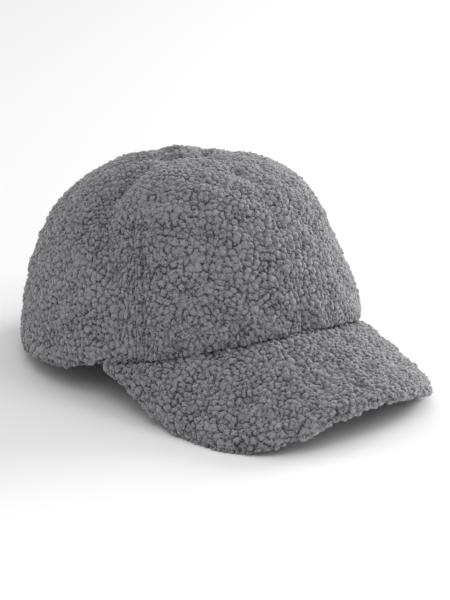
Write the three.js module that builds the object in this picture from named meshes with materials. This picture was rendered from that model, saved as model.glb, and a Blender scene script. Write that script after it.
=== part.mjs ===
import * as THREE from 'three';
import { mergeVertices } from 'three/addons/utils/BufferGeometryUtils.js';

// Peaked cap in curly fleece: six crown panels, a peak and a covered button. Millimetres, +Z up, the
// peak towards -Y, in the pose in which the cap rests on a table: on its back rim and on the two low
// corners of its peak. Every shape is worked out upright, with the rim plane level and "forward"
// meaning -Y, and the whole cap is then tipped back onto the table.

// Crown rows, from the rim plane to the top. height is the height above the rim plane. side, front and
// back are the crown's half widths there. seam is the angle, from the middle of the front, of the seam
// between the front and side panels. swell is how far the stiff front panels stand out. fold is the
// depth of the soft fold in the side panels, and foldAt its place as a share of the panel's width.
// CROWN_LEAN is how far the top stands forward of the rim's middle, and angles are in degrees.
const CROWN_LEAN = 6.5;
const CROWN_ROWS = [
  { height: 0, side: 87.5, front: 101, back: 100, seam: 58, swell: 5, fold: 0, foldAt: 0.08 },
  { height: 16, side: 85.5, front: 102, back: 99, seam: 59, swell: 2.6, fold: 0.5, foldAt: 0.08 },
  { height: 33, side: 82, front: 99, back: 96, seam: 60.5, swell: -0.5, fold: 1, foldAt: 0.12 },
  { height: 51, side: 76, front: 92, back: 90, seam: 62, swell: -2.2, fold: 1.8, foldAt: 0.18 },
  { height: 67, side: 69, front: 82, back: 79.5, seam: 63.5, swell: -0.6, fold: 2.4, foldAt: 0.25 },
  { height: 81, side: 59, front: 68.5, back: 64.5, seam: 63.5, swell: 1.2, fold: 2.8, foldAt: 0.25 },
  { height: 91, side: 44, front: 50, back: 47, seam: 63, swell: 0.8, fold: 2.6, foldAt: 0.24 },
  { height: 97, side: 26.5, front: 28, back: 28.5, seam: 62.5, swell: -1, fold: 1.2, foldAt: 0.24 },
  { height: 99, side: 0, front: 0, back: 0, seam: 62.5, swell: 0, fold: 0, foldAt: 0.24 },
];
const BACK_SEAM = 120;
const FOLD_WIDTH = 0.11;

// Fleece walls: the full thickness in the middle of a panel, how deep the pile sinks at a seam, the
// gap between sewn pieces, the tuck of the hem over a share of the height, and the drop of the rim
// behind the peak's corners, which is complete after BACK_DROP_SPREAD.
const WALL = 5.5;
const SEAM_DEPTH = 3.2;
const SEAM_GAP = 0.36;
const HEM_TUCK = 2;
const HEM_SHARE = 0.1;
const BACK_DROP = 5.8;
const BACK_DROP_SPREAD = 20;

// Top: the panels' tips stop short of the button's shank, in a shallow hollow that the button fills.
const TIP_RADIUS = 4;
const TOP_HOLLOW_RADIUS = 21;
const TOP_HOLLOW_FLOOR = 9;
const TOP_HOLLOW_DEPTH = 5;
const TIP_WALL = 3;
const BUTTON_RADIUS = 7.6;
const BUTTON_HEIGHT = 4;
const BUTTON_FLOAT = 0.5;
const SHANK_RADIUS = 3.5;
const SHANK_LENGTH = 4;

// Peak: it meets the rim between two corners, slopes down forwards and arches from side to side. It is
// worn a little out of true: its right corner is squarer than its left one and hangs lower. The edge
// is a round lip with a narrow nose, and the ends on the rim are thinner than the rest.
const PEAK_CORNER = 69.5;
const PEAK_LENGTH = 62.5;
const PEAK_SPREAD = -1.5;
const PEAK_SPREAD_REACH = 30;
const PEAK_SQUARENESS_RIGHT = 3;
const PEAK_SQUARENESS_LEFT = 2.4;
const PEAK_SLOPE = 26.3;
const PEAK_ARCH_RADIUS = 98;
const PEAK_UPTURN = 8.7;
const PEAK_UPTURN_REACH = 70;
const PEAK_TWIST = 2.4;
const PEAK_TWIST_REACH = 0.6;
const PEAK_THICKNESS = 7.4;
const PEAK_END_SHARE = 0.45;
const PEAK_END_REACH = 40;
const PEAK_LIP_RADIUS = 4.5;
const PEAK_NOSE = 0.6;
const PEAK_GAP = 0.35;
const PEAK_JOIN_WIDTH = 10;
const PEAK_END_ANGLE = 64.5;

// Rest on a table: the tip back, the lean to the left that brings both of the peak's corners down, and
// the depth to which soft fleece is flattened where it bears.
const REST_TIP = 7.1;
const REST_LEAN = 2.8;
const FLATTENED = 1.4;

// Fineness of the meshes.
const PANEL_COLUMNS = 14;
const PANEL_ROWS = 20;
const PEAK_COLUMNS = 40;
const PEAK_ROW_SHARES = [0, 0.06, 0.16, 0.3, 0.45, 0.6, 0.74, 0.85, 0.92, 0.965, 0.99, 1];
const BUTTON_SIDES = 20;

const { clamp, degToRad, lerp, smoothstep } = THREE.MathUtils;
const LAST_ROW = CROWN_ROWS.length - 1;
const CROWN_RISE = CROWN_ROWS[LAST_ROW].height;

// A column of the crown's table at row number u, smoothly between rows. Past the top, half widths
// turn negative and heights fall again, so that the crown closes in a round top.
function crownValue(name, u) {
  const values = CROWN_ROWS.map((row) => row[name]);
  const mirror = ['side', 'front', 'back'].includes(name) ? -1 : 1;
  const value = (k) => {
    if (k < 0) return 2 * values[0] - values[1];
    return k > LAST_ROW ? mirror * values[2 * LAST_ROW - k] : values[k];
  };
  const place = clamp(u, 0, LAST_ROW - 1e-6);
  const k = Math.floor(place);
  const t = place - k;
  const [a, b, c, d] = [value(k - 1), value(k), value(k + 1), value(k + 2)];
  return b + (t / 2) * (c - a + t * (2 * a - 5 * b + 4 * c - d + t * (3 * (b - c) + d - a)));
}

function crownHeight(u) {
  return crownValue('height', u) + Math.min(u, 0) * CROWN_ROWS[1].height;
}

// The crown's plain hull, before seams and folds sink into it. angle is from the middle of the front.
function hullPoint(angle, u) {
  const depth = crownValue(Math.cos(angle) > 0 ? 'front' : 'back', u);
  const height = crownHeight(u);
  const forward = depth * Math.cos(angle) + CROWN_LEAN * (height / CROWN_RISE);
  return new THREE.Vector3(crownValue('side', u) * Math.sin(angle), -forward, height);
}

function hullNormal(angle, u) {
  const step = 1e-3;
  const around = hullPoint(angle + step, u).sub(hullPoint(angle - step, u));
  const upwards = hullPoint(angle, u + step).sub(hullPoint(angle, u - step));
  return around.cross(upwards).normalize();
}

// The row number at which test(u) passes from below zero to above it.
function findRow(low, high, test) {
  let [a, b] = [low, high];
  for (let i = 0; i < 30; i++) {
    const middle = (a + b) / 2;
    if (test(middle) < 0) a = middle;
    else b = middle;
  }
  return (a + b) / 2;
}

// Peak: where its corners stand on the rim, and the height of its top face over a plan point.
const cornerAngle = degToRad(PEAK_CORNER);
const rimSide = CROWN_ROWS[0].side;
const rimFront = CROWN_ROWS[0].front;
const cornerSide = rimSide * Math.sin(cornerAngle);
const cornerForward = rimFront * Math.cos(cornerAngle);

function archDrop(x) {
  return PEAK_ARCH_RADIUS - Math.sqrt(PEAK_ARCH_RADIUS ** 2 - x * x);
}

function peakHeight(x, forward) {
  const beyond = Math.max(forward - rimFront, 0) / PEAK_UPTURN_REACH;
  const slope = Math.tan(degToRad(PEAK_SLOPE)) * (forward - cornerForward);
  const outside = Math.max(Math.hypot(x / rimSide, forward / rimFront) - 1, 0);
  const twist = PEAK_TWIST * (x / cornerSide) * Math.min(outside / PEAK_TWIST_REACH, 1);
  return archDrop(cornerSide) - archDrop(x) - slope + PEAK_UPTURN * beyond * beyond + twist;
}

// The rim follows the peak in front, and from the peak's corners it drops a little to the back.
function rimHeight(angle) {
  const turn = Math.abs(angle);
  if (turn < cornerAngle) return peakHeight(rimSide * Math.sin(turn), rimFront * Math.cos(turn));
  return -BACK_DROP * smoothstep(turn - cornerAngle, 0, degToRad(BACK_DROP_SPREAD));
}

function rimRow(angle) {
  const height = rimHeight(angle);
  return findRow(-1, 4, (u) => crownHeight(u) - height);
}

function tipRow(angle) {
  const side = Math.sin(angle);
  const forward = Math.cos(angle);
  const name = forward > 0 ? 'front' : 'back';
  const reach = (u) => Math.hypot(crownValue('side', u) * side, crownValue(name, u) * forward);
  return findRow(LAST_ROW - 1, LAST_ROW, (u) => TIP_RADIUS - reach(u));
}

// A panel's edges are named front (the middle of the front), side (the front panel's other seam, whose
// angle the rows give), rear (the seam of side and back panels) and back (the middle of the back).
function seamAngle(edge, u) {
  if (edge === 'side') return degToRad(crownValue('seam', u));
  return degToRad({ front: 0, rear: BACK_SEAM, back: 180 }[edge]);
}

// The share, from 0 to 1, of the hollow round the button at a radius from the crown's middle.
function topHollow(radius) {
  return smoothstep(TOP_HOLLOW_RADIUS - radius, 0, TOP_HOLLOW_RADIUS - TOP_HOLLOW_FLOOR);
}

// How far a panel's outer face lies inside the hull: deep along its seams, tucked in at its hem,
// sunk in the hollow at the top, and with the swell of a front panel or the fold of a side panel.
function sunkDepth(panel, across, up, u, radius) {
  const offCentre = Math.abs(2 * across - 1);
  const groove = SEAM_DEPTH * (0.5 * offCentre ** 2 + 0.5 * offCentre ** 10);
  const tuck = HEM_TUCK * Math.max(0, 1 - up / HEM_SHARE) ** 2;
  let depth = Math.max(groove, tuck) + Math.min(groove, tuck) / 4;
  if (panel.swells) depth -= crownValue('swell', u) * (1 - offCentre ** 2);
  if (panel.folds) {
    const off = (across - crownValue('foldAt', u)) / FOLD_WIDTH;
    depth += crownValue('fold', u) * Math.exp(-off * off);
  }
  return lerp(depth, TOP_HOLLOW_DEPTH, topHollow(radius));
}

// A point of a panel's outer or inner face. across runs from its front edge to its rear one, up from
// the rim to the tip, and hand is 1 on the wearer's left (+X) and -1 on the right.
function panelPoint(panel, hand, across, up, inside) {
  let u = lerp(0, LAST_ROW, up);
  let angle = 0;
  let radius = 0;
  for (let pass = 0; pass < 4; pass++) {
    const first = seamAngle(panel.from, u);
    const last = seamAngle(panel.to, u);
    angle = lerp(first, last, across);
    const fromTop = hullPoint(angle, u);
    radius = Math.max(Math.hypot(fromTop.x, fromTop.y + CROWN_LEAN), TIP_RADIUS);
    const inset = SEAM_GAP / 2 / radius;
    angle = lerp(first + inset, last - inset, across);
    u = lerp(rimRow(angle), tipRow(angle), up);
  }
  const inner = lerp(WALL, TOP_HOLLOW_DEPTH + TIP_WALL, topHollow(radius));
  const depth = inside ? inner : sunkDepth(panel, across, up, u, radius);
  const point = hullPoint(angle, u).addScaledVector(hullNormal(angle, u), -depth);
  return point.setX(point.x * hand);
}

// The closed body between two grids of points, each a list of columns. It is turned so that its
// faces point out, which the sign of its volume tells.
function slab(upper, lower) {
  const columns = upper.length;
  const rows = upper[0].length;
  const points = [...upper.flat(), ...lower.flat()];
  const index = [];
  const quad = (a, b, c, d) => index.push(a, b, c, a, c, d);
  const at = (i, j, under) => i * rows + j + (under ? columns * rows : 0);
  for (let i = 0; i + 1 < columns; i++) {
    for (let j = 0; j + 1 < rows; j++) {
      quad(at(i, j), at(i + 1, j), at(i + 1, j + 1), at(i, j + 1));
      quad(at(i, j, 1), at(i, j + 1, 1), at(i + 1, j + 1, 1), at(i + 1, j, 1));
    }
    quad(at(i, 0), at(i, 0, 1), at(i + 1, 0, 1), at(i + 1, 0));
    quad(at(i, rows - 1), at(i + 1, rows - 1), at(i + 1, rows - 1, 1), at(i, rows - 1, 1));
  }
  for (let j = 0; j + 1 < rows; j++) {
    quad(at(0, j), at(0, j + 1), at(0, j + 1, 1), at(0, j, 1));
    const end = columns - 1;
    quad(at(end, j), at(end, j, 1), at(end, j + 1, 1), at(end, j + 1));
  }
  let volume = 0;
  for (let i = 0; i < index.length; i += 3) {
    const [a, b, c] = [points[index[i]], points[index[i + 1]], points[index[i + 2]]];
    volume += a.dot(b.clone().cross(c));
  }
  if (volume < 0) index.reverse();
  return new THREE.BufferGeometry().setFromPoints(points).setIndex(index);
}

function gridOf(columns, rows, pointAt) {
  const line = (i) => Array.from({ length: rows + 1 }, (_, j) => pointAt(i / columns, j / rows));
  return Array.from({ length: columns + 1 }, (_, i) => line(i));
}

// Columns crowd towards a panel's seams, and rows towards its hem and its tip.
function panelGeometry(panel, hand) {
  const crowd = (share) => (1 - Math.cos(Math.PI * share)) / 2;
  const pointAt = (inside) => (i, j) => panelPoint(panel, hand, crowd(i), crowd(j), inside);
  const face = (inside) => gridOf(PANEL_COLUMNS, PANEL_ROWS, pointAt(inside));
  return slab(face(false), face(true));
}

// The peak's outer edge in plan, from its right corner round the front to its left one: a square-cut
// oval, x across and y forward.
class PeakOutline extends THREE.Curve {
  getPoint(share, target = new THREE.Vector2()) {
    const turn = (share - 0.5) * Math.PI;
    const power = 2 / (turn < 0 ? PEAK_SQUARENESS_RIGHT : PEAK_SQUARENESS_LEFT);
    const reach = rimFront - cornerForward + PEAK_LENGTH;
    const forward = reach * Math.max(Math.cos(turn), 0) ** power;
    const spread = PEAK_SPREAD * clamp(forward / PEAK_SPREAD_REACH, 0, 1);
    const side = (cornerSide + spread) * Math.sign(turn) * Math.abs(Math.sin(turn)) ** power;
    return target.set(side, cornerForward + forward);
  }
}

const peakOutline = new PeakOutline();
peakOutline.arcLengthDivisions = 800;
const outlinePoints = peakOutline.getPoints(400);

// A point of the peak's upper or lower face over plan point p. Both faces close in a round lip at the
// outer edge, and the thickness is measured across the slope.
function peakPoint(p, upper) {
  const step = 0.5;
  const slopeX = (peakHeight(p.x + step, p.y) - peakHeight(p.x - step, p.y)) / (2 * step);
  const slopeY = (peakHeight(p.x, p.y + step) - peakHeight(p.x, p.y - step)) / (2 * step);
  const steepness = Math.sqrt(1 + slopeX ** 2 + slopeY ** 2);
  const toEdge = Math.min(...outlinePoints.map((q) => q.distanceTo(p))) * steepness;
  const inwards = clamp(toEdge / PEAK_LIP_RADIUS, 0, 1);
  const end = smoothstep(p.y - cornerForward, 0, PEAK_END_REACH);
  const full = (PEAK_THICKNESS / 2) * lerp(PEAK_END_SHARE, 1, end);
  const half = lerp(PEAK_NOSE, full, Math.sqrt(1 - (1 - inwards) ** 2)) * steepness;
  const middle = peakHeight(p.x, p.y) - full;
  return new THREE.Vector3(p.x, -p.y, middle + (upper ? half : -half));
}

// The panels' hem over the peak, at an angle from the middle of the front: its outer or inner edge.
function hemPoint(angle, inside) {
  const turn = Math.abs(angle);
  const seam = degToRad(crownValue('seam', rimRow(turn)));
  const front = turn < seam;
  const panel = front ? PANELS.front : PANELS.side;
  const across = front ? turn / seam : (turn - seam) / (degToRad(BACK_SEAM) - seam);
  return panelPoint(panel, Math.sign(angle) || 1, across, 0, inside);
}

// The peak runs from under the inner edge of the hem, flush with the crown's inner face, out to its
// edge. Along the hem it lies just below the panels, and within PEAK_JOIN_WIDTH it rises to its form.
function peakGeometry() {
  const gap = new THREE.Vector3(0, 0, -PEAK_GAP);
  const upper = [];
  const lower = [];
  for (let i = 0; i <= PEAK_COLUMNS; i++) {
    const share = i / PEAK_COLUMNS;
    const angle = degToRad(PEAK_END_ANGLE) * (2 * share - 1);
    const hem = hemPoint(angle, false).add(gap);
    const inner = hemPoint(angle, true).add(gap);
    const start = new THREE.Vector2(hem.x, -hem.y);
    const end = peakOutline.getPointAt(share);
    const shift = hem.z - peakPoint(start, true).z;
    const column = (isUpper) => PEAK_ROW_SHARES.map((v) => {
      const plan = start.clone().lerp(end, v);
      const near = 1 - smoothstep(plan.distanceTo(start), 0, PEAK_JOIN_WIDTH);
      const point = peakPoint(plan, isUpper);
      return point.setZ(point.z + shift * near);
    });
    const [top, bottom] = [column(true), column(false)];
    const thickness = top[0].z - bottom[0].z;
    upper.push([inner, ...top]);
    lower.push([inner.clone().setZ(inner.z - thickness), ...bottom]);
  }
  return slab(upper, lower);
}

// The covered button: a low dome on a short shank, which passes between the panels' tips.
function buttonGeometry() {
  const under = -TOP_HOLLOW_DEPTH + BUTTON_FLOAT;
  const dome = new THREE.EllipseCurve(0, under, BUTTON_RADIUS, BUTTON_HEIGHT, 0, Math.PI / 2);
  const profile = [
    new THREE.Vector2(0, under - SHANK_LENGTH),
    new THREE.Vector2(SHANK_RADIUS, under - SHANK_LENGTH),
    new THREE.Vector2(SHANK_RADIUS, under),
    ...dome.getPoints(6).slice(0, -1),
    new THREE.Vector2(0, under + BUTTON_HEIGHT),
  ];
  const geometry = new THREE.LatheGeometry(profile, BUTTON_SIDES);
  geometry.rotateX(Math.PI / 2);
  return geometry.translate(0, -CROWN_LEAN, CROWN_RISE);
}

const PANELS = {
  front: { from: 'front', to: 'side', swells: true },
  side: { from: 'side', to: 'rear', folds: true },
  back: { from: 'rear', to: 'back' },
};

const geometries = { peak: peakGeometry(), button: buttonGeometry() };
for (const [place, panel] of Object.entries(PANELS)) {
  geometries[`panel_${place}_right`] = panelGeometry(panel, -1);
  geometries[`panel_${place}_left`] = panelGeometry(panel, 1);
}

// Tip the cap onto the table, flatten what bears on it, and stand it with its origin below its middle.
const box = new THREE.Box3();
for (const geometry of Object.values(geometries)) {
  geometry.rotateX(degToRad(-REST_TIP));
  geometry.rotateY(degToRad(REST_LEAN));
  geometry.computeBoundingBox();
  box.union(geometry.boundingBox);
}
const middle = box.getCenter(new THREE.Vector3());
const colours = { panel: 0x747477, peak: 0x727275, button: 0x767679 };
const group = new THREE.Group();
for (const [name, geometry] of Object.entries(geometries)) {
  geometry.translate(-middle.x, -middle.y, -box.min.z - FLATTENED);
  const position = geometry.getAttribute('position');
  for (let i = 0; i < position.count; i++) position.setZ(i, Math.max(position.getZ(i), 0));
  geometry.deleteAttribute('uv');
  geometry.deleteAttribute('normal');
  const body = mergeVertices(geometry, 1e-4);
  body.computeVertexNormals();
  const colour = colours[name.split('_')[0]];
  const material = new THREE.MeshStandardMaterial({ color: colour, roughness: 0.95, metalness: 0 });
  const mesh = new THREE.Mesh(body, material);
  mesh.name = name;
  group.add(mesh);
}

export default group;
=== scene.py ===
import itertools
import math

import bmesh
import bpy
import numpy as np
from mathutils import Matrix, Vector
from mathutils.kdtree import KDTree


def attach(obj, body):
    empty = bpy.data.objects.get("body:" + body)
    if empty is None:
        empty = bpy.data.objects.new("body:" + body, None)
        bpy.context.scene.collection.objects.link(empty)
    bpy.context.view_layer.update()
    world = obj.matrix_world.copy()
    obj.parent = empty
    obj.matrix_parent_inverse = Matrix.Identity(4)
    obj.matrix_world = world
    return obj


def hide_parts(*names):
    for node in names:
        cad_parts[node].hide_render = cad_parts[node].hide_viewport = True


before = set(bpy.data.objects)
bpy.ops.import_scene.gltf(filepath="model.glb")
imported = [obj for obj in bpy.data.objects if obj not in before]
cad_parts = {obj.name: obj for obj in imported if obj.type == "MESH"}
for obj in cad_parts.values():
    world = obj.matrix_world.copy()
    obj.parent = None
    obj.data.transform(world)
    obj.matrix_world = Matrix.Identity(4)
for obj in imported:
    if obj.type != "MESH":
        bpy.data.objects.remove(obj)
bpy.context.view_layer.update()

# Camera: a long lens a little above the table, to the cap's right of the peak. The turn from straight
# in front, the lift above the table and the roll are in degrees, the distance and the aim in metres.
CAMERA_TURN = -37.71
CAMERA_LIFT = 18.9
CAMERA_ROLL = -0.72
CAMERA_AWAY = 1.6108
CAMERA_AIM = Vector((0.01965, 0.0241, 0.03105))
CAMERA_LENS = 175.52

turned = (
    Matrix.Rotation(math.radians(CAMERA_TURN), 4, "Z")
    @ Matrix.Rotation(math.radians(90 - CAMERA_LIFT), 4, "X")
    @ Matrix.Rotation(math.radians(CAMERA_ROLL), 4, "Z")
)
camera = bpy.data.objects.new("camera", bpy.data.cameras.new("camera"))
camera.data.lens = CAMERA_LENS
camera.data.sensor_width = 36
camera.rotation_euler = turned.to_euler()
camera.location = CAMERA_AIM + turned.to_3x3() @ Vector((0, 0, CAMERA_AWAY))
bpy.context.collection.objects.link(camera)
bpy.context.scene.camera = camera

# Table: a wide pale sheet, so light that it runs into a white background. Colours are shown as they
# are, with no film curve, because the white behind a cut-out product picture has none.
TABLE_SIZE = 8
TABLE_COLOUR = (0.93, 0.93, 0.93, 1)

bpy.context.scene.view_settings.view_transform = "Standard"
mesh = bpy.data.meshes.new("table")
shape = bmesh.new()
bmesh.ops.create_grid(shape, x_segments=1, y_segments=1, size=TABLE_SIZE / 2)
shape.to_mesh(mesh)
shape.free()
table = bpy.data.objects.new("table", mesh)
bpy.context.collection.objects.link(table)
paint = bpy.data.materials.new("table_white")
paint.use_nodes = True
paint.node_tree.nodes["Principled BSDF"].inputs["Base Color"].default_value = TABLE_COLOUR
paint.node_tree.nodes["Principled BSDF"].inputs["Roughness"].default_value = 0.9
table.data.materials.append(paint)

# Light: an even white room, a low soft lamp to the right and a little behind, and two soft lamps high
# in front. Places and sizes are in metres, powers in watts.
ROOM_LIGHT = 0.6
LAMPS = {
    "side": {"place": (1.68, -0.23, 0.62), "size": 0.9, "power": 27},
    "front": {"place": (-0.78, -1.0, 1.27), "size": 0.9, "power": 8.2},
    "key": {"place": (0.48, -1.18, 1.27), "size": 0.9, "power": 4.4},
}

world = bpy.data.worlds.new("room")
bpy.context.scene.world = world
world.use_nodes = True
world.node_tree.nodes["Background"].inputs["Color"].default_value = (1, 1, 1, 1)
world.node_tree.nodes["Background"].inputs["Strength"].default_value = ROOM_LIGHT
for name, made in LAMPS.items():
    lamp = bpy.data.objects.new(name, bpy.data.lights.new(name, "AREA"))
    lamp.data.size = made["size"]
    lamp.data.energy = made["power"]
    lamp.location = made["place"]
    lamp.rotation_euler = (-lamp.location).to_track_quat("-Z", "Y").to_euler()
    bpy.context.collection.objects.link(lamp)

# Crown panels: six pieces of curly fleece, seamed together from the rim to the button. The pile is
# outside, in clumps of curls, and the plain knitted back of the cloth is inside. The hem is turned
# under. Shapes are worked out upright in millimetres, with the rim's plane level and the peak towards -Y.

# Crown rows from the rim plane up: half widths, the seam between front and side panels as an angle
# from the middle of the front, how far the front panels swell, the depth of the side panels' soft fold,
# the rise of the ridge along that seam, and the fold's place as a share of its panel's width.
CROWN = {
    "height": (0, 16, 33, 51, 67, 81, 91, 97, 99),
    "side": (87.5, 85.5, 82, 76, 69, 59, 44, 26.5, 0),
    "front": (101, 102, 99, 92, 82, 68.5, 50, 28, 0),
    "back": (100, 99, 96, 90, 79.5, 64.5, 47, 28.5, 0),
    "seam": (58, 59, 60.5, 62, 63.5, 63.5, 63, 62.5, 62.5),
    "swell": (5, 2.6, -0.5, -2.2, -0.6, 1.2, 0.8, -1, 0),
    "fold": (0, 0.5, 1.2, 2.4, 4.4, 6.4, 6.6, 4.4, 0),
    "ridge": (0, 0, 0, 0, 0.8, 2, 1.8, 0.6, 0),
    "fold_at": (0.08, 0.08, 0.12, 0.18, 0.26, 0.35, 0.35, 0.38, 0.38),
}
HALF_WIDTHS = ("side", "front", "back")

# How far the top is set forward, the seams, the ridge and the fold, the line of stitching, the hem, the
# rim's drop behind the peak and the hollow at the top. Lengths are in millimetres, angles in degrees.
CROWN_LEAN = 6.5
BACK_SEAM = 120
RIDGE_REACH = 8
FOLD_REACH_FRONT = 7
FOLD_REACH_BACK = 13
WALL = 5.5
SEAM_BOW = 1.6
SEAM_LINES = {"front": 0.8, "side": 1.1, "rear": 1, "back": 1}
SEAM_LINE_WIDTH = 0.9
SEAM_LOSS = 0.7
SEAM_LOST_FROM = 4.2
SEAM_GAP = 0.02
STITCH_PLACE = 4.1
STITCH_DEPTH = 1.3
STITCH_WIDTH = 0.75
HEM_TUCK = 1.5
HEM_SHARE = 0.07
HEM_ROUND = 1.3
HEM_ROUND_START = 0.06
BACK_DROP = 5.8
BACK_DROP_SPREAD = 20
TIP_RADIUS = 4
TOP_HOLLOW_RADIUS = 21
TOP_HOLLOW_FLOOR = 9
TOP_HOLLOW_DEPTH = 5
TIP_WALL = 3

# The panels on each hand: their two edges, the front one first, whether they swell or fold, and the flat
# size of the cloth in metres, across and up. TAPER is the share of that rectangle that the cloth fills.
PANELS = {
    "front": {"edges": ("front", "side"), "swells": 1, "folds": 0, "flat": (0.098, 0.153)},
    "side": {"edges": ("side", "rear"), "swells": 0, "folds": 1, "flat": (0.108, 0.155)},
    "back": {"edges": ("rear", "back"), "swells": 0, "folds": 0, "flat": (0.096, 0.169)},
}
HANDS = {"right": -1, "left": 1}
FOLDED = {"right": 1, "left": 0.5}
TAPER = 0.68

# The peak's top face decides where the rim runs in front, so its slope is given here.
PEAK_CORNER = 69.5
PEAK_SLOPE = 26.3
PEAK_ARCH_RADIUS = 98
PEAK_UPTURN = 8.7
PEAK_UPTURN_REACH = 70
PEAK_TWIST = 2.4
PEAK_TWIST_REACH = 0.6
PEAK_END_ANGLE = 64.5

# Rest on the table: the tip back, the lean to the left, and where the middle of the rim comes.
REST_TIP = 7.1
REST_LEAN = 2.8
RIM_MIDDLE = (-0.115, 33.43, 17.306)

# Fineness: columns and rows of the pile side, rows round the hem, rows of the knitted side, and the
# places round half the crown where the rim and the tip are worked out.
PANEL_COLUMNS = 180
PANEL_ROWS = 300
HEM_ROWS = 10
INNER_ROWS = 40
RIM_PLACES = 1441

HEM_TOP = HEM_ROWS / (HEM_ROWS + PANEL_ROWS)
LAST_ROW = len(CROWN["height"]) - 1
CROWN_RISE = CROWN["height"][LAST_ROW]
RIM_SIDE = CROWN["side"][0]
RIM_FRONT = CROWN["front"][0]
CORNER_TURN = math.radians(PEAK_CORNER)
CORNER_SIDE = RIM_SIDE * math.sin(CORNER_TURN)
CORNER_FORWARD = RIM_FRONT * math.cos(CORNER_TURN)


def blend(low, high, share):
    return low + (high - low) * share


def smooth_step(value, reach):
    share = np.clip(value / reach, 0, 1)
    return share * share * (3 - 2 * share)


def crown_value(name, row):
    """A column of the crown's table at row numbers, smoothly between rows and over a round top."""
    values = CROWN[name]
    past_top = -values[-2] if name in HALF_WIDTHS else values[-2]
    values = np.array([2 * values[0] - values[1], *values, past_top])
    place = np.clip(row, 0, LAST_ROW - 1e-6)
    k = np.floor(place).astype(int)
    t = place - k
    a, b, c, d = (values[k + step] for step in range(4))
    return b + t / 2 * (c - a + t * (2 * a - 5 * b + 4 * c - d + t * (3 * (b - c) + d - a)))


def crown_height(row):
    return crown_value("height", row) + np.minimum(row, 0) * CROWN["height"][1]


def hull_point(turn, row):
    """The crown's plain hull at an angle from the middle of the front, before seams sink into it."""
    depth = np.where(np.cos(turn) > 0, crown_value("front", row), crown_value("back", row))
    height = crown_height(row)
    forward = depth * np.cos(turn) + CROWN_LEAN * height / CROWN_RISE
    return np.stack([crown_value("side", row) * np.sin(turn), -forward, height], -1)


def unit(vectors):
    return vectors / np.linalg.norm(vectors, axis=-1, keepdims=True)


def hull_normal(turn, row):
    step = 1e-3
    around = hull_point(turn + step, row) - hull_point(turn - step, row)
    upwards = hull_point(turn, row + step) - hull_point(turn, row - step)
    return unit(np.cross(around, upwards))


def find_row(low, high, test):
    """The row numbers at which test(row) passes from below zero to above it."""
    for _ in range(30):
        middle = (low + high) / 2
        below = test(middle) < 0
        low = np.where(below, middle, low)
        high = np.where(below, high, middle)
    return (low + high) / 2


def arch_drop(x):
    return PEAK_ARCH_RADIUS - np.sqrt(PEAK_ARCH_RADIUS**2 - x * x)


def peak_height(x, forward):
    """The height of the peak's top face over a point in plan."""
    beyond = np.maximum(forward - RIM_FRONT, 0) / PEAK_UPTURN_REACH
    slope = math.tan(math.radians(PEAK_SLOPE)) * (forward - CORNER_FORWARD)
    outside = np.maximum(np.hypot(x / RIM_SIDE, forward / RIM_FRONT) - 1, 0)
    twist = PEAK_TWIST * x / CORNER_SIDE * np.minimum(outside / PEAK_TWIST_REACH, 1)
    return arch_drop(CORNER_SIDE) - arch_drop(x) - slope + PEAK_UPTURN * beyond**2 + twist


def rim_height(turn):
    """The rim follows the peak in front, and drops a little behind the peak's corners."""
    over_peak = peak_height(RIM_SIDE * np.sin(turn), RIM_FRONT * np.cos(turn))
    drop = BACK_DROP * smooth_step(turn - CORNER_TURN, math.radians(BACK_DROP_SPREAD))
    return np.where(turn < CORNER_TURN, over_peak, -drop)


def tip_reach(turn, row):
    depth = np.where(np.cos(turn) > 0, crown_value("front", row), crown_value("back", row))
    return np.hypot(crown_value("side", row) * np.sin(turn), depth * np.cos(turn))


# The rows where the rim and the tip come.
half_turn = np.linspace(0, math.pi, RIM_PLACES)
lows, highs = np.full_like(half_turn, -1), np.full_like(half_turn, 4)
rim_heights = rim_height(half_turn)
rim_rows = find_row(lows, highs, lambda row: crown_height(row) - rim_heights)
lows, highs = np.full_like(half_turn, LAST_ROW - 1), np.full_like(half_turn, LAST_ROW)
tip_rows = find_row(lows, highs, lambda row: TIP_RADIUS - tip_reach(half_turn, row))


def seam_turn(edge, row):
    if edge == "side":
        return np.radians(crown_value("seam", row))
    return np.full_like(row, math.radians({"front": 0, "rear": BACK_SEAM, "back": 180}[edge]))


def top_hollow(radius):
    return smooth_step(TOP_HOLLOW_RADIUS - radius, TOP_HOLLOW_RADIUS - TOP_HOLLOW_FLOOR)


def seam_lines(panel, across, row, width):
    """The depth of the narrow lines at a panel's two seams, and of the stitched line beside one. They
    are lost in the pile on top of the crown."""
    first, last = across * width, (1 - across) * width
    depths = [SEAM_LINES[edge] for edge in panel["edges"]]
    lines = depths[0] * np.exp(-((first / SEAM_LINE_WIDTH) ** 2))
    lines = lines + depths[1] * np.exp(-((last / SEAM_LINE_WIDTH) ** 2))
    if panel["swells"]:
        lines = lines + STITCH_DEPTH * np.exp(-(((last - STITCH_PLACE) / STITCH_WIDTH) ** 2))
    return lines * (1 - SEAM_LOSS * smooth_step(row - SEAM_LOST_FROM, 1))


def fold_depth(panel, across, row, width):
    off = (across - crown_value("fold_at", row)) * width
    off = off / np.where(off < 0, FOLD_REACH_FRONT, FOLD_REACH_BACK)
    return panel["folds"] * crown_value("fold", row) * np.exp(-off * off)


def seam_distance(panel, across, width):
    """How far points are from the seam between a front and a side panel, which back panels don't meet."""
    if panel["swells"]:
        return (1 - across) * width
    if panel["folds"]:
        return across * width
    return np.full_like(across, 1e3)


def ridge_rise(panel, across, row, width):
    """How far the cloth stands out in a ridge along the seam between a front and a side panel."""
    off = seam_distance(panel, across, width) / RIDGE_REACH
    return crown_value("ridge", row) * np.exp(-(off**2))


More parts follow.
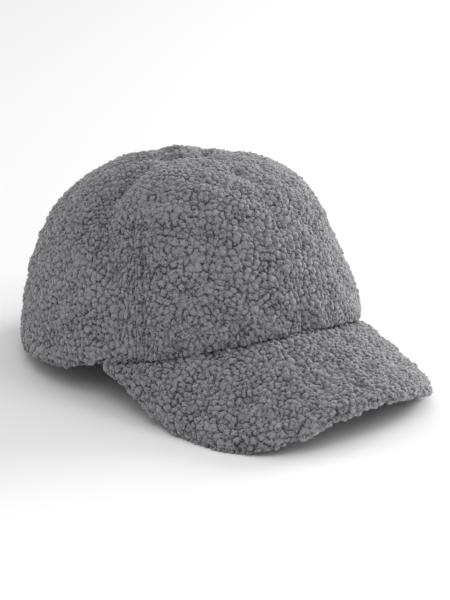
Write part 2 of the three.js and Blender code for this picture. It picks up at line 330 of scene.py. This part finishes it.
def sunk_depth(panel, across, up, row, radius, width):
    """How far a panel's outer face lies inside the hull, or outside it where it swells."""
    off_centre = np.abs(2 * across - 1)
    groove = SEAM_BOW * off_centre**2 + seam_lines(panel, across, row, width)
    tuck = HEM_TUCK * np.maximum(0, 1 - up / HEM_SHARE) ** 2
    depth = np.maximum(groove, tuck) + np.minimum(groove, tuck) / 4
    depth = depth - ridge_rise(panel, across, row, width)
    depth = depth - panel["swells"] * crown_value("swell", row) * (1 - off_centre**2)
    depth = depth + fold_depth(panel, across, row, width)
    return blend(depth, TOP_HOLLOW_DEPTH, top_hollow(radius))


def panel_point(panel, across, up, inside):
    """Points of a panel's face on the cap's left, each with its angle from the middle of the front
    and the panel's width there."""
    row = up * LAST_ROW
    for _ in range(4):
        first, last = (seam_turn(edge, row) for edge in panel["edges"])
        plan = hull_point(blend(first, last, across), row)
        radius = np.maximum(np.hypot(plan[..., 0], plan[..., 1] + CROWN_LEAN), TIP_RADIUS)
        inset = SEAM_GAP / 2 / radius
        turn = blend(first + inset, last - inset, across)
        low = np.interp(turn, half_turn, rim_rows)
        high = np.interp(turn, half_turn, tip_rows)
        row = blend(low, high, up)
    width = (last - first) * radius
    if inside:
        fold = fold_depth(panel, across, row, width)
        depth = blend(WALL + fold, TOP_HOLLOW_DEPTH + TIP_WALL, top_hollow(radius))
    else:
        depth = sunk_depth(panel, across, up, row, radius, width)
    return hull_point(turn, row) - hull_normal(turn, row) * depth[..., None], turn, width


def outer_point(panel, across, share):
    """A panel's pile side, from the inner edge of the turned hem at share 0 up to the tip at share 1."""
    up = np.maximum(share - HEM_TOP, 0) / (1 - HEM_TOP)
    point, turn, _ = panel_point(panel, across, up, False)
    under = np.clip(1 - share / HEM_TOP, 0, 1)[..., None]
    inner = panel_point(panel, across, np.zeros_like(up), True)[0]
    clear = smooth_step(turn - math.radians(PEAK_END_ANGLE), HEM_ROUND_START)[..., None]
    sag = HEM_ROUND * np.sin(math.pi * under) * clear
    return blend(point, inner, (1 - np.cos(math.pi * under)) / 2) - sag * (0, 0, 1)


def waves(points, size, seed, count=20):
    """A smooth random height of spread about 1, with swells of about a size in millimetres."""
    random = np.random.default_rng(seed)
    ways = unit(random.normal(size=(count, 3)))
    ways = ways * (2 * math.pi / size / random.uniform(0.7, 1.5, (count, 1)))
    return np.sin(points @ ways.T + random.uniform(0, 2 * math.pi, count)).sum(-1) * math.sqrt(2 / count)


# Pile: clumps of curls, each a small dome, with smaller curls on it. Sizes, the reach of a dome's round
# shoulder, the width of the sunk line between two domes, darkened by painted shade, and all depths are in
# millimetres.
CLUMPS = {"size": 4.4, "shoulder": 2.1, "line": 0.45}
COLUMNS = {"size": 3.1, "shoulder": 1.5, "line": 0.5}
CURLS = {"size": 1.8, "shoulder": 0.9, "line": 0.3}
COLUMN_STRETCH = 0.56
NEAR_CLUMPS = 5
LEAST_SPACING = 0.6
MOST_SPACING = 1.4
CURL_LATTICE = 40

# The heights of its parts, and the sizes of the swells that bend the partings, fray them, ruffle the
# curls and raise whole tufts.
PILE_RISE = 0.7
CLUMP_DEPTH = 1.45
LINE_DEPTH = 0.5
CURL_DEPTH = 0.12
CLUMP_RISE = 0.4
FIBRE_HEIGHT = 0.1
LOOSE_HEIGHT = 0.35
LOOSE_SHARE = 0.08
WANDER = 0.4
WANDER_SIZE = 8
FRAY = 0.22
FRAY_SIZE = 2.0
RUFFLE_SIZE = 1.3
TUFT_SIZE = 13

# How light the pile is on the clumps' tops, how much painted shade each kind of parting takes off, and
# what the rest adds in random tone.
TOP_LIGHT = 1.1
PARTING_SHADE = {"shoulder": 0.5, "line": 0.7, "curl": 0.06, "curl_line": 0.05}
RUFFLE_LIGHT = 0.04
OWN_LIGHT = 0.12
TUFT_LIGHT = 0.05


def scattered(points, spacing, seed):
    """Some of the points, in no order, each at its own uneven spacing from all others."""
    random = np.random.default_rng(seed)
    reach = MOST_SPACING * spacing
    spacings = spacing * random.uniform(LEAST_SPACING, MOST_SPACING, len(points))
    cells = np.floor(points / reach).astype(int).tolist()
    around = list(itertools.product((-1, 0, 1), repeat=3))
    taken = {}
    places = points.tolist()
    for i in random.permutation(len(points)):
        a, b, c = cells[i]
        x, y, z = places[i]
        limit = spacings[i] ** 2
        for di, dj, dk in around:
            for u, v, w in taken.get((a + di, b + dj, c + dk), ()):
                if (u - x) ** 2 + (v - y) ** 2 + (w - z) ** 2 < limit:
                    break
            else:
                continue
            break
        else:
            taken.setdefault((a, b, c), []).append((x, y, z))
    return [place for group in taken.values() for place in group]


def clumped(points, made, seed):
    """For points on cloth: the depth, from 0 to 1, of the round parting and of the sharp line between
    clumps, and a random number from -1 to 1 of the clump that each point is in."""
    centres = scattered(points, made["size"], seed)
    tree = KDTree(len(centres))
    for i, centre in enumerate(centres):
        tree.insert(centre, i)
    tree.balance()
    found = [tree.find_n(point, NEAR_CLUMPS) for point in points]
    order = np.array([[near[1] for near in row] for row in found])
    gap = np.array([[near[2] for near in row] for row in found]) ** 2
    places = np.array(centres)[order]
    away = np.linalg.norm(places[:, 1:] - places[:, :1], axis=-1)
    border = (gap[:, 1:] - gap[:, :1]) / (2 * away)
    random = np.random.default_rng(seed + 1)
    strengths = random.uniform(0, 1, 2 * len(centres))
    strength = strengths[order[:, 1:] + order[:, :1]]
    shoulders = (0.4 + 0.5 * strength) * np.maximum(1 - border / made["shoulder"], 0) ** 2
    lines = (0.25 + 0.75 * strength**1.5) * np.exp(-((border / made["line"]) ** 2))
    own = random.uniform(-1, 1, len(centres))[order[:, 0]]
    return 1 - (1 - shoulders).prod(1), lines.max(1), own


def curled(points, made, seed):
    """The same depths for curls that are too many to place one by one: cells in a jittered lattice."""
    random = np.random.default_rng(seed)
    centres = random.uniform(0.05, 0.95, (CURL_LATTICE, CURL_LATTICE, CURL_LATTICE, 3))
    place = points / made["size"]
    cell = np.floor(place).astype(int)
    near = []
    for step in itertools.product((-1, 0, 1), repeat=3):
        i, j, k = ((cell + step) % CURL_LATTICE).T
        near.append(cell + step + centres[i, j, k])
    near = np.array(near)
    gap = ((near - place) ** 2).sum(-1)
    first = gap.argmin(0)
    each = np.arange(len(place))
    away = np.linalg.norm(near - near[first, each], axis=-1)
    border = (gap - gap[first, each]) / (2 * np.maximum(away, 1e-6)) * made["size"]
    border[first, each] = 1e3
    border = border.min(0)
    return np.maximum(1 - border / made["shoulder"], 0) ** 2, np.exp(-((border / made["line"]) ** 2))


def pile(points, seed, along=None, combed=None):
    """Heights in millimetres of the pile over points on cloth, and how light its curls are, with
    painted shade in the partings.
    Where combed is given, from 0 to 1, the clumps run together in columns along that direction."""
    wander = [waves(points, WANDER_SIZE, seed + i) for i in range(3)]
    fray = [waves(points, FRAY_SIZE, seed + 3 + i) for i in range(3)]
    moved = points + WANDER * np.stack(wander, -1) + FRAY * np.stack(fray, -1)
    shoulder, line, own = clumped(moved, CLUMPS, seed + 6)
    if combed is not None:
        at = combed > 0.01
        if at.any():
            stretch = moved[at] - COLUMN_STRETCH * (moved[at] @ along)[:, None] * along
            column = clumped(stretch, COLUMNS, seed + 7)
            shoulder[at] = blend(shoulder[at], column[0], combed[at])
            line[at] = blend(line[at], column[1], combed[at])
            own[at] = blend(own[at], column[2], combed[at])
    curl, curl_line = curled(moved, CURLS, seed + 8)
    random = np.random.default_rng(seed + 10)
    ruffle = waves(moved, RUFFLE_SIZE, seed + 9) + random.normal(size=len(points))
    loose = random.uniform(0, 1, len(points)) < LOOSE_SHARE
    tufts = waves(points, TUFT_SIZE, seed + 11)
    top = 1 - shoulder
    height = PILE_RISE - CLUMP_DEPTH * shoulder - LINE_DEPTH * line - CURL_DEPTH * curl
    height = height + CLUMP_RISE * (own * top + tufts) + FIBRE_HEIGHT * ruffle
    height = height + LOOSE_HEIGHT * loose * top
    # Painted shade in the partings of clumps and curls, and random tone from ruffles, clumps and tufts.
    light = TOP_LIGHT - PARTING_SHADE["shoulder"] * shoulder - PARTING_SHADE["line"] * line
    light = light - PARTING_SHADE["curl"] * curl - PARTING_SHADE["curl_line"] * curl_line
    light = light + RUFFLE_LIGHT * ruffle
    return height, light + OWN_LIGHT * own * top + TUFT_LIGHT * tufts


def patchy(points, made, seed):
    """A share that varies over the cloth in patches, between a least and a most."""
    share = made["usual"] + made["spread"] * waves(points, made["size"], seed)
    return np.clip(share, made["least"], made["most"])


def set_on_table(points):
    """Upright points in millimetres, tipped back and leaned onto the table, in metres."""
    tip, lean = math.radians(REST_TIP), math.radians(REST_LEAN)
    x, y, z = np.moveaxis(points, -1, 0)
    y, z = y * math.cos(tip) + z * math.sin(tip), z * math.cos(tip) - y * math.sin(tip)
    x, z = x * math.cos(lean) + z * math.sin(lean), z * math.cos(lean) - x * math.sin(lean)
    points = (np.stack([x, y, z], -1) + RIM_MIDDLE) / 1000
    points[..., 2] = np.maximum(points[..., 2], 0)
    return points


class Value:
    """A shader value that takes part in sums: each operator adds the Math node that works it out."""

    def __init__(self, finish, socket):
        self.finish = finish
        self.socket = socket

    def math(self, operation, *others):
        values = dict(enumerate([self, *others]))
        return self.finish.node("Math", {"operation": operation}, values).value(0)

    def __add__(self, other):
        return self.math("ADD", other)

    def __sub__(self, other):
        return self.math("SUBTRACT", other)

    def __rsub__(self, other):
        return (self * -1).math("ADD", other)

    def __mul__(self, other):
        return self.math("MULTIPLY", other)

    __radd__ = __add__
    __rmul__ = __mul__


class Node:
    """A shader node whose outputs are read as values."""

    def __init__(self, finish, node):
        self.finish = finish
        self.node = node

    def value(self, output):
        return Value(self.finish, self.node.outputs[output])


class Finish:
    """A material in the making. node() adds a node from its type, its settings and its inputs."""

    def __init__(self, name):
        self.material = bpy.data.materials.new(name)
        self.material.use_nodes = True
        self.material.node_tree.nodes.clear()

    def node(self, kind, settings=None, inputs=None):
        tree = self.material.node_tree
        node = tree.nodes.new("ShaderNode" + kind)
        for setting, value in (settings or {}).items():
            setattr(node, setting, value)
        for name, value in (inputs or {}).items():
            if isinstance(value, Value):
                tree.links.new(value.socket, node.inputs[name])
            else:
                node.inputs[name].default_value = value
        return Node(self, node)

    def mix(self, factor, dark, light):
        """A colour between two others."""
        return self.node("Mix", {"data_type": "RGBA"}, {0: factor, 6: dark, 7: light}).value(2)

    def noise(self, place, size, detail, distortion):
        """Soft random spots of about a size in metres."""
        inputs = {"Vector": place, "Scale": 1 / size, "Detail": detail, "Distortion": distortion}
        return self.node("TexNoise", {}, inputs).value("Fac")

    def cloth(self, colour, bump, height, sheen):
        """Ends the material as rough cloth of a colour, with a relief of a height in metres."""
        normal = self.node("Bump", {}, {"Height": bump, "Distance": height, "Strength": 1})
        shader = self.node("BsdfPrincipled", {}, {
            "Base Color": colour,
            "Roughness": 0.95,
            "Specular IOR Level": 0.15,
            "Sheen Weight": sheen,
            "Sheen Roughness": 0.45,
            "Normal": normal.value(0),
        })
        self.node("OutputMaterial", {}, {"Surface": shader.value(0)})
        return self.material


# Fleece: grey wool-like curls, darkest in the partings by painted shade, mottled by fine fibres.
FLEECE_DARK = (0.034, 0.034, 0.038, 1)
FLEECE_LIGHT = (0.262, 0.2605, 0.277, 1)
FLEECE_SHEEN = 0.8
FIBRE_SIZE = 0.00095
FIBRE_RELIEF = 0.0003
FADING_SIZE = 0.022

# How much each of these lightens or darkens the cloth.
PILE_CONTRAST = 0.84
FIBRE_CONTRAST = 2.8
FUZZ_CONTRAST = 0.9
FADING_CONTRAST = 0.4
SHADE_LIFT = 0.06

finish = Finish("grey_fleece")
place = finish.node("TexCoord").value("Object")
# The pile attribute holds the curls' random tone, painted shade in the partings, seam lines, hem, fold,
# button crease, peak and join, and painted light on the ridge.
lightness = finish.node("Attribute", {"attribute_name": "pile"}).value("Fac")
fibres = finish.noise(place, FIBRE_SIZE, detail=2, distortion=0.8)
fuzz = finish.noise(place, 2 * FIBRE_SIZE, detail=1, distortion=0.5)
fading = finish.noise(place, FADING_SIZE, detail=2, distortion=0)
shade = lightness * PILE_CONTRAST + (fibres - 0.5) * FIBRE_CONTRAST + (fuzz - 0.5) * FUZZ_CONTRAST
shade = shade + (fading - 0.5) * FADING_CONTRAST + SHADE_LIFT
colour = finish.mix(shade, FLEECE_DARK, FLEECE_LIGHT)
fleece = finish.cloth(colour, fibres + fuzz, FIBRE_RELIEF, FLEECE_SHEEN)

# Knitted back: fine plain stitches in the same yarn, in columns up the panel.
KNIT_DARK = (0.09, 0.09, 0.097, 1)
KNIT_LIGHT = (0.2, 0.2, 0.21, 1)
KNIT_SHEEN = 0.15
KNIT_RELIEF = 0.00035
KNIT_FUZZ_SIZE = 0.0011
STITCHES_ACROSS = 62
STITCHES_UP = 110
STITCH_SLANT = 1.4

finish = Finish("knitted_back")
cloth_place = finish.node("TexCoord").value("UV")
axes = finish.node("SeparateXYZ", {}, {0: cloth_place})
column = (axes.value(0) * STITCHES_ACROSS).math("FRACT")
leg = (column - 0.5).math("ABSOLUTE")
stitch = (axes.value(1) * STITCHES_UP + leg * STITCH_SLANT).math("FRACT")
loop = (stitch * math.pi).math("SINE") * (column * math.pi * 2 - math.pi / 2).math("SINE").math("ABSOLUTE")
place = finish.node("TexCoord").value("Object")
fuzz = finish.noise(place, KNIT_FUZZ_SIZE, detail=3, distortion=0)
shade = loop * 0.6 + fuzz * 0.5
knit = finish.cloth(finish.mix(shade, KNIT_DARK, KNIT_LIGHT), shade, KNIT_RELIEF, KNIT_SHEEN)


def new_grid(shape, columns, rows):
    """Adds a unit grid and gives the shares across and up of its points, and its faces."""
    made = bmesh.ops.create_grid(shape, x_segments=columns, y_segments=rows, size=0.5, calc_uvs=True)
    shares = np.array([point.co for point in made["verts"]]) + 0.5
    faces = {face for point in made["verts"] for face in point.link_faces}
    return made["verts"], shares[:, 0], shares[:, 1], faces


def move_to(points, places):
    for point, place in zip(points, places):
        point.co = place


# Where the panels' pile is combed upwards, in millimetres from the seam and as shares of the height,
# and where it lies calmer than elsewhere.
VERTICAL = np.array([0.0, 0.0, 1.0])
COMB_REACH = 10
COMB_EDGE = 2
COMB_WAVER = 1.5
COMB_WAVER_SIZE = 9
COMB_TOP = 0.55
COMB_TOP_EDGE = 0.1
HEM_COMB = 0.7
HEM_COMB_TOP = 0.1
HEM_COMB_EDGE = 0.08
HEM_COMB_WAVER = 0.02
HEM_COMB_WAVER_SIZE = 12
TOP_CALM = 0.22
TOP_CALM_FROM = 0.5
TOP_CALM_EDGE = 0.25
SEAM_CALM = 0.65
CALM_LIGHT = 0.8

# How much painted shade darkens the pile in the seams' lines, under the hem, in the fold and round the
# button, and how much painted light lightens it on the ridge, for each millimetre or in all. The painted
# shade is uneven in patches.
LINE_SHADE = 0.4
HEM_SHADE = 0.4
HEM_SHADE_SHARE = 0.012
FOLD_SHADE = 0.045
RIDGE_LIGHT = 0.03
BUTTON_SHADE = 0.35
BUTTON_CREASE = 12
BUTTON_CREASE_WIDTH = 3.5
SHADE_PATCHES = {"size": 5, "usual": 0.9, "spread": 0.2, "least": 0.3, "most": 1.3}
PANEL_SEED = 11

# The pile thins out at the turned hem and at the panels' tips. These are shares of the height, and so
# is the step over which the cloth's slope is taken.
HEM_END = 0.016
TIP_END = 0.03
STEP = 2e-4


def panel_pile(panel, across, share, points, seed):
    """A panel's pile, combed in columns along the seam between front and side panels and up from the
    front hem, and its lightness, with painted shade in the seams, under the hem, in the fold and round
    the button, and painted light on the ridge."""
    width = panel_point(panel, across, share, False)[2]
    edge = seam_distance(panel, across, width)
    edge = edge + COMB_WAVER * waves(points, COMB_WAVER_SIZE, seed + 21)
    combed = 1 - smooth_step(edge - COMB_REACH, COMB_EDGE)
    combed = combed * (1 - smooth_step(share - COMB_TOP, COMB_TOP_EDGE))
    above = share + HEM_COMB_WAVER * waves(points, HEM_COMB_WAVER_SIZE, seed + 22)
    at_hem = 1 - smooth_step(above - HEM_COMB_TOP, HEM_COMB_EDGE)
    combed = np.maximum(combed, HEM_COMB * panel["swells"] * at_hem)
    height, lightness = pile(points, seed, VERTICAL, combed)
    row = share * LAST_ROW
    lines = seam_lines(panel, across, row, width)
    calm = TOP_CALM * smooth_step(share - TOP_CALM_FROM, TOP_CALM_EDGE)
    calm = np.maximum(calm, SEAM_CALM * np.minimum(lines, 1))
    height = height * (1 - calm)
    lightness = blend(lightness, CALM_LIGHT, calm)
    # Painted shade in the seams' lines, under the hem and round the button, uneven in patches; painted
    # light on the ridge and painted shade in the fold.
    uneven = patchy(points, SHADE_PATCHES, seed + 20)
    shade = LINE_SHADE * lines
    shade = shade + HEM_SHADE * (1 - smooth_step(share - HEM_TOP, HEM_SHADE_SHARE))
    radius = np.hypot(points[:, 0], points[:, 1] + CROWN_LEAN)
    shade = shade + BUTTON_SHADE * np.exp(-(((radius - BUTTON_CREASE) / BUTTON_CREASE_WIDTH) ** 2))
    lightness = lightness - shade * uneven + RIDGE_LIGHT * ridge_rise(panel, across, row, width)
    return height, lightness - FOLD_SHADE * fold_depth(panel, across, row, width)


for place, cut in PANELS.items():
    for side, hand in HANDS.items():
        name = f"panel_{place}_{side}"
        panel = {**cut, "folds": cut["folds"] * FOLDED[side]}
        shape = bmesh.new()
        shape.loops.layers.uv.new("cloth")
        verts, across, share, _ = new_grid(shape, PANEL_COLUMNS, HEM_ROWS + PANEL_ROWS)
        inner_verts, inner_across, inner_up, inner_faces = new_grid(shape, PANEL_COLUMNS, INNER_ROWS)
        point = outer_point(panel, across, share)
        right = outer_point(panel, across + STEP, share) - outer_point(panel, across - STEP, share)
        above = outer_point(panel, across, share + STEP) - outer_point(panel, across, share - STEP)
        out = unit(np.cross(right, above)) * (hand, 1, 1)
        point = point * (hand, 1, 1)
        height, lightness = panel_pile(panel, across, share, point, PANEL_SEED)
        ends = smooth_step(share, HEM_END) * (1 - smooth_step(share - (1 - TIP_END), TIP_END))
        outside = set_on_table(point + out * (height * ends)[:, None])
        inner_place = np.minimum(inner_up * (INNER_ROWS + 1) / INNER_ROWS, 1)
        inside = panel_point(panel, inner_across, inner_place, True)[0]
        inside = set_on_table(inside * (hand, 1, 1))
        tip = inner_up > 1 - 1e-6
        inside[tip] = outside[share > 1 - 1e-6]
        move_to(verts, outside)
        move_to(inner_verts, inside)
        for face in inner_faces:
            face.material_index = 1
        lightness = np.concatenate([lightness, np.full(len(inner_verts), 0.5)])
        keep = shape.verts.layers.float.new("pile")
        for vert, value in zip(shape.verts, lightness):
            vert[keep] = value
        edges = [edge for edge in shape.edges if edge.is_boundary]
        rims = list({vert for edge in edges for vert in edge.verts})
        bmesh.ops.remove_doubles(shape, verts=rims, dist=1e-7)
        edges = [edge for edge in shape.edges if edge.is_boundary]
        made = bmesh.ops.holes_fill(shape, edges=edges, sides=0)
        bmesh.ops.triangulate(shape, faces=made["faces"])
        bmesh.ops.recalc_face_normals(shape, faces=shape.faces)
        mesh = bpy.data.meshes.new(name)
        shape.to_mesh(mesh)
        shape.free()
        mesh.shade_smooth()
        mesh.materials.append(fleece)
        mesh.materials.append(knit)
        piece = bpy.data.objects.new(name + "_fleece", mesh)
        bpy.context.collection.objects.link(piece)
        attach(piece, "root")
        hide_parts(name)
        flat = panel["flat"]
        TAPER * flat[0] * flat[1]

# Peak: a stiff board covered in the same fleece above and below, sewn in under the crown's hem. It is
# worn a little out of true: squarer at its right corner, with a thick round edge all the way round.
# Lengths are in millimetres, and shares are of the way from the edge to the hem.
PEAK_LENGTH = 62.5
PEAK_SPREAD = -1.5
PEAK_SPREAD_REACH = 30
PEAK_SQUARENESS_RIGHT = 3
PEAK_SQUARENESS_LEFT = 2.4
PEAK_THICKNESS = 7.4
PEAK_END_SHARE = 0.45
PEAK_END_REACH = 40
PEAK_LIP_RADIUS = 4.5
PEAK_GAP = 0.35
SEWN_UNDER_SHARE = 0.5
PEAK_JOIN_WIDTH = 10
# Painted shade over the whole peak, and more of it along the join under the crown's hem, uneven in
# patches.
PEAK_SHADE = 0.07
JOIN_SHADE = 0.5
JOIN_WIDTH = 1.7
JOIN_PATCHES = {"size": 5, "usual": 0.75, "spread": 0.5, "least": 0.1, "most": 1.5}
HEM_END_ABOVE = 0.02
HEM_END_BELOW = 0.04
PEAK_SEED = 31
JOIN_SEED = 51
PEAK_COLUMNS = 560
PEAK_TOP_ROWS = 110
PEAK_UNDER_ROWS = 58
PEAK_BACK_ROWS = 3
PEAK_LIP_SHARE = 0.12
EDGE_PLACES = 6001
HEM_PLACES = 400


def peak_outline(count):
    """Points along the peak's outer edge in plan, from its right corner round to its left one."""
    turn = np.linspace(-math.pi / 2, math.pi / 2, count)
    power = 2 / np.where(turn < 0, PEAK_SQUARENESS_RIGHT, PEAK_SQUARENESS_LEFT)
    reach = RIM_FRONT - CORNER_FORWARD + PEAK_LENGTH
    forward = reach * np.maximum(np.cos(turn), 0) ** power
    spread = PEAK_SPREAD * np.clip(forward / PEAK_SPREAD_REACH, 0, 1)
    side = (CORNER_SIDE + spread) * np.sign(turn) * np.abs(np.sin(turn)) ** power
    return np.stack([side, CORNER_FORWARD + forward], -1)


edge_points = peak_outline(EDGE_PLACES)
edge_walk = np.cumsum(np.linalg.norm(np.diff(edge_points, axis=0, prepend=edge_points[:1]), axis=-1))
edge_walk = edge_walk / edge_walk[-1]
edge_tree = KDTree(len(edge_points))
for i, (x, forward) in enumerate(edge_points):
    edge_tree.insert((x, forward, 0), i)
edge_tree.balance()


def hem_line(inside):
    """The crown's hem over the peak, outer or inner edge, at angles from the middle of the front."""
    turns = np.radians(np.linspace(0, PEAK_END_ANGLE + 1, HEM_PLACES))
    seam = np.radians(crown_value("seam", np.interp(turns, half_turn, rim_rows)))
    low = np.zeros_like(turns)
    front = panel_point(PANELS["front"], np.minimum(turns / seam, 1), low, inside)[0]
    across = np.maximum(turns - seam, 0) / (math.radians(BACK_SEAM) - seam)
    side = panel_point(PANELS["side"], across, low, inside)[0]
    return turns, np.where((turns < seam)[:, None], front, side)


def on_hem(line, turn):
    turns, points = line
    found = [np.interp(np.abs(turn), turns, points[:, i]) for i in range(3)]
    return np.stack([found[0] * np.sign(turn), found[1], found[2] - PEAK_GAP], -1)


def peak_face(x, forward, side):
    """The peak's face over plan points: the upper one for side 1 and the lower one for side -1."""
    step = 0.5
    slope_x = (peak_height(x + step, forward) - peak_height(x - step, forward)) / (2 * step)
    slope_y = (peak_height(x, forward + step) - peak_height(x, forward - step)) / (2 * step)
    steepness = np.sqrt(1 + slope_x**2 + slope_y**2)
    to_edge = np.array([edge_tree.find((a, b, 0))[2] for a, b in zip(x, forward)]) * steepness
    inwards = np.clip(to_edge / PEAK_LIP_RADIUS, 0, 1)
    end = smooth_step(forward - CORNER_FORWARD, PEAK_END_REACH)
    full = PEAK_THICKNESS / 2 * blend(PEAK_END_SHARE, 1, end)
    half = full * np.sqrt(1 - (1 - inwards) ** 2) * steepness
    return peak_height(x, forward) - full + side * half


outer_hem, inner_hem = hem_line(False), hem_line(True)
sewn_line = outer_hem[0], blend(outer_hem[1], inner_hem[1], SEWN_UNDER_SHARE)


def peak_point(across, walk):
    """The peak's skin: across from corner to corner, walk from the hem below (-1) round the edge (0)
    to the hem above (1)."""
    turn = math.radians(PEAK_END_ANGLE) * (2 * across - 1)
    hem = on_hem(sewn_line, turn)
    end = np.stack([np.interp(across, edge_walk, edge_points[:, i]) for i in range(2)], -1)
    far = np.abs(walk)
    share = far**2 * (1 + PEAK_LIP_SHARE) / (far + PEAK_LIP_SHARE)
    start = hem[:, :2] * (1, -1)
    plan = blend(end, start, share[:, None])
    height = peak_face(plan[:, 0], plan[:, 1], np.sign(walk))
    lift = hem[:, 2] - peak_face(start[:, 0], start[:, 1], 1)
    near = 1 - smooth_step(np.linalg.norm(plan - start, axis=-1), PEAK_JOIN_WIDTH)
    return np.stack([plan[:, 0], -plan[:, 1], height + lift * near], -1)


shape = bmesh.new()
rows = PEAK_TOP_ROWS + PEAK_UNDER_ROWS
verts, across, share, _ = new_grid(shape, PEAK_COLUMNS, rows)
row = share * rows
walk = np.where(row < PEAK_UNDER_ROWS, row / PEAK_UNDER_ROWS - 1, (row - PEAK_UNDER_ROWS) / PEAK_TOP_ROWS)
point = peak_point(across, walk)
grid = point.reshape(rows + 1, PEAK_COLUMNS + 1, 3)
out = unit(np.cross(np.gradient(grid, axis=1), np.gradient(grid, axis=0)).reshape(-1, 3))
height, lightness = pile(point, PEAK_SEED)
turn = math.radians(PEAK_END_ANGLE) * (2 * across - 1)
from_hem = np.linalg.norm(point - on_hem(outer_hem, turn), axis=-1)
# Painted shade: the whole peak darker, and darker still along the join under the crown's hem.
uneven = patchy(point, JOIN_PATCHES, JOIN_SEED)
lightness = lightness - PEAK_SHADE - JOIN_SHADE * np.exp(-((from_hem / JOIN_WIDTH) ** 2)) * uneven
ends = smooth_step(1 - walk, HEM_END_ABOVE) * smooth_step(walk + 1, HEM_END_BELOW)
outside = set_on_table(point + out * (height * ends)[:, None])
move_to(verts, outside)
back_verts, back_across, back_share, _ = new_grid(shape, PEAK_COLUMNS, PEAK_BACK_ROWS)
turn = math.radians(PEAK_END_ANGLE) * (2 * back_across - 1)
inner = on_hem(inner_hem, turn)
level = np.rint(back_share * PEAK_BACK_ROWS).astype(int)
column = np.rint(back_across * PEAK_COLUMNS).astype(int)
top, bottom = grid[-1][column], grid[0][column]
inner_low = inner - (0, 0, 1) * (top - bottom)[:, 2:]
back_points = np.choose(level[:, None], [top, inner, inner_low, bottom])
move_to(back_verts, set_on_table(back_points))
values = np.concatenate([lightness, np.full(len(back_verts), 0.4)])
keep = shape.verts.layers.float.new("pile")
for vert, value in zip(shape.verts, values):
    vert[keep] = value
edges = [edge for edge in shape.edges if edge.is_boundary]
bmesh.ops.remove_doubles(shape, verts=list({vert for edge in edges for vert in edge.verts}), dist=1e-7)
edges = [edge for edge in shape.edges if edge.is_boundary]
made = bmesh.ops.holes_fill(shape, edges=edges, sides=0)
bmesh.ops.triangulate(shape, faces=made["faces"])
bmesh.ops.recalc_face_normals(shape, faces=shape.faces)
mesh = bpy.data.meshes.new("peak_fleece")
shape.to_mesh(mesh)
shape.free()
mesh.shade_smooth()
mesh.materials.append(fleece)
piece = bpy.data.objects.new("peak_fleece", mesh)
bpy.context.collection.objects.link(piece)
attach(piece, "root")
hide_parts("peak")

# Button: a small dome covered in the same fleece, which hides the place where the six panels meet. Its
# shank is pressed down between their tips. Lengths are in millimetres.
BUTTON_RADIUS = 8.6
BUTTON_HEIGHT = 5.2
BUTTON_FLOAT = 0.5
SHANK_RADIUS = 3.5
SHANK_LENGTH = 4
SHANK_TOP = 0.4
BUTTON_FLATNESS = 0.35
BUTTON_SEED = 47
BUTTON_SIDES = 110
DOME_ROWS = 22

shape = bmesh.new()
under = CROWN_RISE - TOP_HOLLOW_DEPTH + BUTTON_FLOAT
profile = [(0, under - SHANK_LENGTH), (SHANK_RADIUS, under - SHANK_LENGTH)]
profile.append((SHANK_RADIUS, under - SHANK_TOP))
for i in range(DOME_ROWS + 1):
    turn = math.pi * (i / DOME_ROWS * 0.75 - 0.25)
    low = 1 if turn > 0 else BUTTON_FLATNESS
    profile.append((BUTTON_RADIUS * math.cos(turn), under + BUTTON_HEIGHT * low * math.sin(turn)))
profile[-1] = (0, profile[-1][1])
chain = [shape.verts.new((x, 0, z)) for x, z in profile]
edges = [shape.edges.new(pair) for pair in zip(chain, chain[1:])]
bmesh.ops.spin(shape, geom=chain + edges, axis=(0, 0, 1), cent=(0, 0, 0), steps=BUTTON_SIDES,
               angle=2 * math.pi, use_merge=True)
bmesh.ops.remove_doubles(shape, verts=shape.verts, dist=1e-5)
bmesh.ops.recalc_face_normals(shape, faces=shape.faces)
shape.normal_update()
point = np.array([vert.co for vert in shape.verts]) - (0, CROWN_LEAN, 0)
out = np.array([vert.normal for vert in shape.verts])
height, lightness = pile(point, BUTTON_SEED)
covered = smooth_step(point[:, 2] - under + 0.5, 1)
move_to(shape.verts, set_on_table(point + out * (height * covered)[:, None]))
keep = shape.verts.layers.float.new("pile")
for vert, value in zip(shape.verts, lightness):
    vert[keep] = value
mesh = bpy.data.meshes.new("button_fleece")
shape.to_mesh(mesh)
shape.free()
mesh.shade_smooth()
mesh.materials.append(fleece)
piece = bpy.data.objects.new("button_fleece", mesh)
bpy.context.collection.objects.link(piece)
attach(piece, "root")
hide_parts("button")
